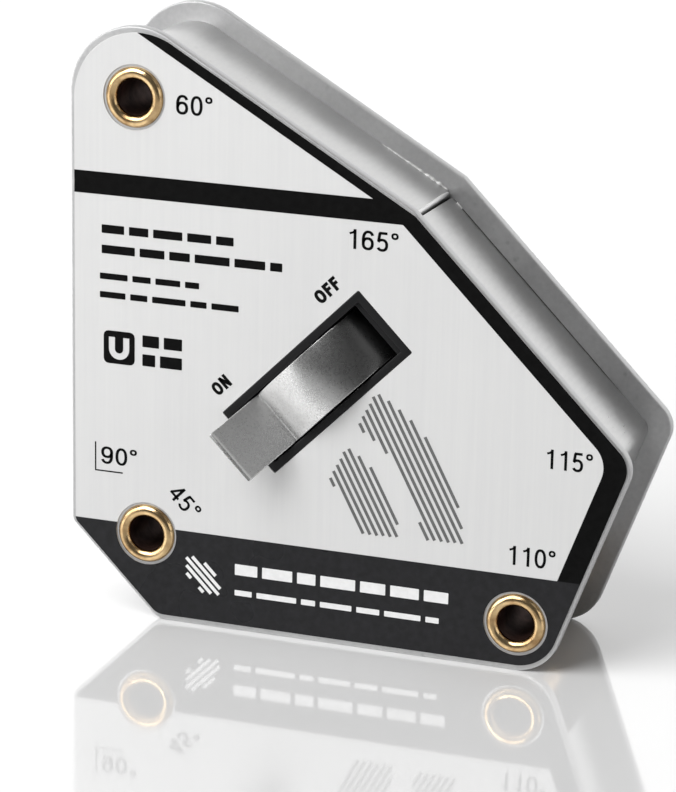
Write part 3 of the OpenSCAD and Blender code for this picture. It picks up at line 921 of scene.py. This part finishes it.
def figure_shapes(sign, w):
    """Shapes of one figure, one unit high, drawn with strokes of width w, and its advance."""
    h = w / 2
    bowl = (0.28, 0.33)
    if sign == "0":
        return [ring_shape((0.28, 0.5), 0.28, 0.5, w)], 0.56
    if sign == "1":
        return [line_shape(w, (0.36, 0), (0.36, 1)),
                line_shape(w * 0.8, (0.36, 0.93), (0.27, 0.83), (0.11, 0.77))], 0.56
    if sign == "4":
        return [line_shape(w, (0.41, 0), (0.41, 1)), line_shape(w * 0.9, (0.41, 0.95), (0.06, 0.3)),
                line_shape(w, (0.0, 0.28), (0.56, 0.28))], 0.56
    if sign == "5":
        hook = oval((0.265, 0.33), 0.28 - h, 0.33 - h, 148, -150)
        return [line_shape(w, (0.12, 1 - h), (0.50, 1 - h)),
                line_shape(w, (0.155, 0.94), (0.095, 0.5)), [ribbon(hook, w)]], 0.56
    if sign in "69":
        sweep = [Vector((h, 0.33)), *oval((0.3, 0.52), 0.3 - h, 0.48 - h, 180, 32)]
        shapes = [ring_shape(bowl, 0.28, 0.33, w), [ribbon(sweep, w)]]
        if sign == "9":
            shapes = [[[Vector((0.56 - p.x, 1 - p.y)) for p in loop] for loop in shape]
                      for shape in shapes]
        return shapes, 0.56
    if sign == "O":
        return [ring_shape((0.36, 0.5), 0.36, 0.5, w)], 0.72
    if sign == "N":
        return [line_shape(w, (h, 0), (h, 1)), line_shape(w, (0.64 - h, 0), (0.64 - h, 1)),
                line_shape(w, (h, 0.93), (0.64 - h, 0.07))], 0.64
    if sign == "F":
        return [line_shape(w, (h, 0), (h, 1)), line_shape(w, (w, 1 - h), (0.52, 1 - h)),
                line_shape(w, (w, 0.52), (0.47, 0.52))], 0.52
    # Any other sign is the degree ring.
    return [ring_shape((0.17, 0.83), 0.17, 0.17, w * 0.75)], 0.34


def print_figures(name, text, low, high, turn, weight):
    """Plain stroke figures that fill the upright box low..high, turned about its middle."""
    shapes, x = [], 0.0
    for sign in text:
        drawn, advance = figure_shapes(sign, weight)
        shapes += [[[Vector((p.x + x, p.y)) for p in loop] for loop in shape] for shape in drawn]
        x += advance + FIGURE_GAP
    width = x - FIGURE_GAP
    middle = (Vector(low) + Vector(high)) / 2
    turned = Matrix.Rotation(math.radians(turn), 2)
    size = (high[0] - low[0], high[1] - low[1])

    def placed(p):
        return turned @ Vector(((p.x / width - 0.5) * size[0], (p.y - 0.5) * size[1])) + middle

    parts = [sheet(name, [[placed(p) for p in loop] for loop in shape], INK_T)
             for shape in shapes]
    obj = to_plan(join(name, parts), INK_FRONT, INK_BACK)
    return paint(extra(obj, "housing"), INK_BLACK)


def bar(low, high, radius=0.3):
    """Upright rectangle with small corner rounds."""
    corners = ((high[0], high[1]), (low[0], high[1]), (low[0], low[1]), (high[0], low[1]))
    signs = ((-1, -1), (1, -1), (1, 1), (-1, 1))
    points = []
    for k, ((x, y), (sx, sy)) in enumerate(zip(corners, signs)):
        points += arc((x + sx * radius, y + sy * radius), radius, 90 * k, 90 * k + 90, 30)
    return points


# Heights of the stripe and the band in the plan, and distances from the plan's origin of the
# lines where the black borders end.
BAR_LOW, BAR_HIGH = 76.06, 80.0
BAND_TOP = 17.13
WEDGE_OFFSET = 96.8
FIELD_SIDE, FIELD_FOOT, FIELD_R = 96.5, 78.1, 5.0
# The border takes only the label's edge to the right of this.
MIDDLE_X = 45.0
SAME_HEIGHT = 1e-6


def make_bands():
    """Black wedge, stripe and border of the label, and the band along its bottom."""
    up, down = Vector((0, 1)), Vector((0, -1))
    shape = outline(moved_in(EDGES, LABEL_INSETS), LABEL_RADII)
    wedge = clip(clip(shape, down, -BAR_HIGH), -UPPER[0], -WEDGE_OFFSET)
    stripe = clip(clip(shape, down, -BAR_LOW), up, BAR_HIGH)
    print_shape("print_upper_wedge", [wedge], INK_BLACK)
    print_shape("print_stripe", [stripe], INK_BLACK)
    # Border along the side and foot edges, round the rounded corner of the plain field.
    outer = clip(clip(shape, up, BAR_LOW), down, -BAND_TOP)
    outer = [p for p in outer if p.x > MIDDLE_X]
    outer.sort(key=lambda p: -p.y)
    side, foot = (SIDE[0], FIELD_SIDE), (FOOT[0], FIELD_FOOT)
    inner = [cross_lines(side, (up, BAR_LOW)), *corner_round(side, foot, FIELD_R),
             cross_lines(foot, (up, BAND_TOP))]
    print_shape("print_border", [outer + inner[::-1]], INK_BLACK)
    # Band along the bottom, notched by the corner rivet's cut-out.
    band = clip(shape, up, BAND_TOP)
    corner, foot_at = RIVETS["corner"], RIVETS["foot"]
    rise = math.degrees(math.asin((BAND_TOP - corner.y) / LABEL_RING_R))
    notch = arc(corner, LABEL_RING_R, 180 - rise, 360 + rise)
    top = max(range(len(band)), key=lambda k: (band[k].y > BAND_TOP - SAME_HEIGHT, -band[k].x))
    band = band[top:] + band[:top]
    print_shape("print_bottom_band", [[band[0], *notch, *band[1:]], circle(foot_at, LABEL_RING_R)],
                INK_BAND)


# Name, signs ("*" is the degree ring), low and high corner of the box, turn, stroke weight.
FIGURES = (
    ("figure_60", "60*", (19.5, 91.3), (26.1, 94.7), 0, FIGURE_WEIGHT),
    ("figure_165", "165*", (50.6, 71.1), (59.7, 74.5), 0, FIGURE_WEIGHT),
    ("figure_115", "115*", (86.4, 36.8), (94.7, 40.2), 0, FIGURE_WEIGHT),
    ("figure_110", "110*", (80.4, 19.0), (88.9, 22.4), 0, FIGURE_WEIGHT),
    ("figure_90", "90*", (5.6, 27.6), (12.4, 30.8), 0, FIGURE_WEIGHT),
    ("figure_45", "45*", (18.4, 20.9), (24.6, 24.1), -45, FIGURE_WEIGHT),
    ("mark_on", "ON", (26.3, 43.3), (29.9, 45.7), 45, SWITCH_WEIGHT),
    ("mark_off", "OFF", (44.6, 62.2), (49.8, 64.6), 45, SWITCH_WEIGHT))


def make_figures():
    """Corner angles, the right-angle mark and the two switch positions."""
    for figure in FIGURES:
        print_figures(*figure)
    print_shape("corner_mark_upright", [bar((4.4, 26.4), (4.65, 31.5), 0.05)], INK_BLACK)
    print_shape("corner_mark_level", [bar((4.4, 26.15), (9.7, 26.4), 0.05)], INK_BLACK)


DASH_GAP = 0.9
DASH_ROUND = 0.12


def dashes(name, rows, height, material, lift=0.0):
    """Rows of short plain bars: (left end, bottom, widths of the bars in order)."""
    parts = []
    for x, z, widths in rows:
        for width in widths:
            shape = bar((x, z), (x + width, z + height), DASH_ROUND)
            parts.append(sheet(name, [shape], INK_T))
            x += width + DASH_GAP
    obj = to_plan(join(name, parts), INK_FRONT - lift, INK_BACK - lift)
    return paint(extra(obj, "housing"), material)


HATCH_STEP = 0.15
SHORTEST_HATCH = 1.2


def hatch_line(offset, across, radii, angles):
    """Ends of the parts of one hatch line that lie inside a ring sector."""
    along = Vector((-across.y, across.x))
    reach = radii[1]
    ends, run = [], []
    travel = -reach
    while travel <= reach + HATCH_STEP:
        p = across * offset + along * travel
        turn = math.degrees(math.atan2(p.y, p.x))
        if radii[0] < p.length < radii[1] and angles[0] < turn < angles[1]:
            run.append(p)
        else:
            if len(run) * HATCH_STEP > SHORTEST_HATCH:
                ends.append((run[0], run[-1]))
            run = []
        travel += HATCH_STEP
    return ends


def hatched_sector(name, centre, radii, angles, hatch, material, lift=0.0):
    """Ring sector filled with slanting lines. The hatch is (pitch, line width, lean)."""
    pitch, width, lean = hatch
    across = Vector((math.cos(math.radians(lean)), math.sin(math.radians(lean))))
    parts = []
    for k in range(int(2 * radii[1] / pitch) + 1):
        for start, end in hatch_line(k * pitch - radii[1], across, radii, angles):
            ends = [start + Vector(centre), end + Vector(centre)]
            parts.append(sheet(name, [ribbon(ends, width)], INK_T))
    obj = to_plan(join(name, parts), INK_FRONT - lift, INK_BACK - lift)
    return paint(extra(obj, "housing"), material)


# Rows of dashes: left end, bottom, and the widths of the bars in order.
LARGE_ROWS = ((5.75, 69.3, (4.2, 3.6, 5.4, 4.4, 3.2)),
              (5.75, 65.7, (6.2, 4.6, 3.8, 6.4, 5.6, 2.2)))
SMALL_ROWS = ((5.4, 61.1, (5.2, 3.4, 4.6, 2.6)),
              (5.4, 57.8, (4.8, 3.2, 6.2, 3.0, 5.0)))
SIGN_ROWS = ((13.4, 49.7, (3.1, 3.4)), (13.4, 46.3, (2.4, 4.1)))
BAND_LARGE_ROWS = ((31.0, 10.3, (4.2, 5.6, 3.4, 6.4, 4.6, 5.2, 4.4)),)
BAND_SMALL_ROWS = ((31.0, 6.5, (3.2, 7.4, 2.6, 5.8, 4.2, 6.6, 2.4)),)
PROTRACTOR_AT = (43.5, 20.5)
PROTRACTOR_ANGLES = (2, 64)
PROTRACTOR_HATCH = (1.1, 0.56, 28)
BAND_HATCH = (1.0, 0.62, 45)


def make_magnet_sign():
    """Horseshoe cut out of a rounded black square."""
    left, right, top = 7.65, 10.35, 50.9
    bend = arc((9.0, 48.8), (right - left) / 2, 180, 360, 15)
    horseshoe = [Vector((left, top)), *bend, Vector((right, top))]
    square = bar((6.1, 46.1), (11.95, 52.0), 0.9)
    print_shape("magnet_sign", [square, ribbon(horseshoe, 1.15)], INK_BLACK)


def make_generic_marks():
    """Plain dashes, a magnet sign and hatched protractor sectors in place of any wording."""
    dashes("dashes_large", LARGE_ROWS, 1.5, INK_BLACK)
    dashes("dashes_small", SMALL_ROWS, 1.1, INK_BLACK)
    make_magnet_sign()
    dashes("dashes_sign", SIGN_ROWS, 2.1, INK_BLACK)
    for name, radii in (("protractor_outer", (21.5, 29.0)), ("protractor_inner", (10.0, 17.5))):
        hatched_sector(name, PROTRACTOR_AT, radii, PROTRACTOR_ANGLES, PROTRACTOR_HATCH, INK_GREY)
    hatched_sector("band_sector", (21.8, 6.1), (2.6, 6.6), (0, 90), BAND_HATCH, INK_WHITE,
                   WHITE_LIFT)
    dashes("band_dashes_large", BAND_LARGE_ROWS, 2.0, INK_WHITE, WHITE_LIFT)
    dashes("band_dashes_small", BAND_SMALL_ROWS, 1.0, INK_WHITE, WHITE_LIFT)


for make in (make_plates, make_label, make_strips, make_beads, make_rivets, make_bezel,
             make_lever, make_bands, make_figures, make_generic_marks):
    make()


# ---------------------------------------------------------------- floor, light and camera
FLOOR_REACH = 3


def make_floor():
    """Plain pale floor that mirrors a little."""
    r = FLOOR_REACH
    mesh = bpy.data.meshes.new("floor")
    mesh.from_pydata([(-r, -r, 0), (r, -r, 0), (r, r, 0), (-r, r, 0)], [], [(0, 1, 2, 3)])
    floor = link("floor", mesh)
    shader = Shader("floor_white", Metallic=0.0, Specular_IOR_Level=1.0, Coat_Weight=0.5)
    cloud = shader.noise(3.0)
    shader.set(Base_Color=shader.tint(cloud, (0.77, 0.77, 0.77), (0.79, 0.79, 0.79)),
               Roughness=shader.between(cloud, 0.05, 0.08))
    paint(floor, shader.material)


ROOM_LIGHT = 0.11
MIDDLE = (0, 0, 0.05)
# Name, place, aim, size and power of each softbox.
SOFTBOXES = (
    ("wall_light", (0, 1.5, 0.7), (0, 0, 0.7), (3.6, 1.4), 22.0),
    ("left_softbox", (-1.0, -0.75, 0.45), MIDDLE, (1.0, 0.8), 8.0),
    ("top_softbox", (-0.45, -0.70, 1.0), MIDDLE, (1.0, 1.0), 17.0),
    ("right_softbox", (1.1, -0.45, 0.3), MIDDLE, (0.8, 0.5), 1.5),
    ("fill_softbox", (0.85, -0.43, 0.9), MIDDLE, (0.6, 0.5), 0.32))


def area_light(name, location, target, size, power):
    """Rectangular softbox aimed at a target."""
    data = bpy.data.lights.new(name, "AREA")
    data.shape = "RECTANGLE"
    data.size, data.size_y = size
    data.energy = power
    lamp = bpy.data.objects.new(name, data)
    bpy.context.scene.collection.objects.link(lamp)
    direction = Vector(target) - Vector(location)
    lamp.matrix_world = (Matrix.Translation(location)
                         @ direction.to_track_quat("-Z", "Y").to_matrix().to_4x4())


def make_light():
    """A dim room with a bright wall behind, big softboxes on the left and above in front, and
    two faint ones on the right."""
    world = bpy.data.worlds.new("studio")
    bpy.context.scene.world = world
    world.use_nodes = True
    background = world.node_tree.nodes["Background"]
    background.inputs["Color"].default_value = (1, 1, 1, 1)
    background.inputs["Strength"].default_value = ROOM_LIGHT
    for softbox in SOFTBOXES:
        area_light(*softbox)


# The photo's view: turns in degrees, place as plan point and depth in mm, lens in mm.
CAMERA_AZIMUTH = 19.45
CAMERA_ELEVATION = 16.5
CAMERA_ROLL = 1.09
CAMERA_PLAN = (232.96, 208.27)
CAMERA_DEPTH = -519.73
SENSOR = 36.0
FOCAL = 153.45


def make_camera():
    """Long lens a little above and to the right, rolled slightly like the photo."""
    data = bpy.data.cameras.new("camera")
    data.sensor_width = SENSOR
    data.lens = FOCAL
    data.clip_start = 0.01
    camera = bpy.data.objects.new("camera", data)
    bpy.context.scene.collection.objects.link(camera)
    turn = (Matrix.Rotation(math.radians(CAMERA_AZIMUTH), 4, "Z")
            @ Matrix.Rotation(math.radians(90 - CAMERA_ELEVATION), 4, "X")
            @ Matrix.Rotation(math.radians(CAMERA_ROLL), 4, "Z"))
    camera.matrix_world = Matrix.Translation(at(CAMERA_PLAN, CAMERA_DEPTH)) @ turn
    bpy.context.scene.camera = camera


make_floor()
make_light()
make_camera()
bpy.context.scene.view_settings.view_transform = "Standard"
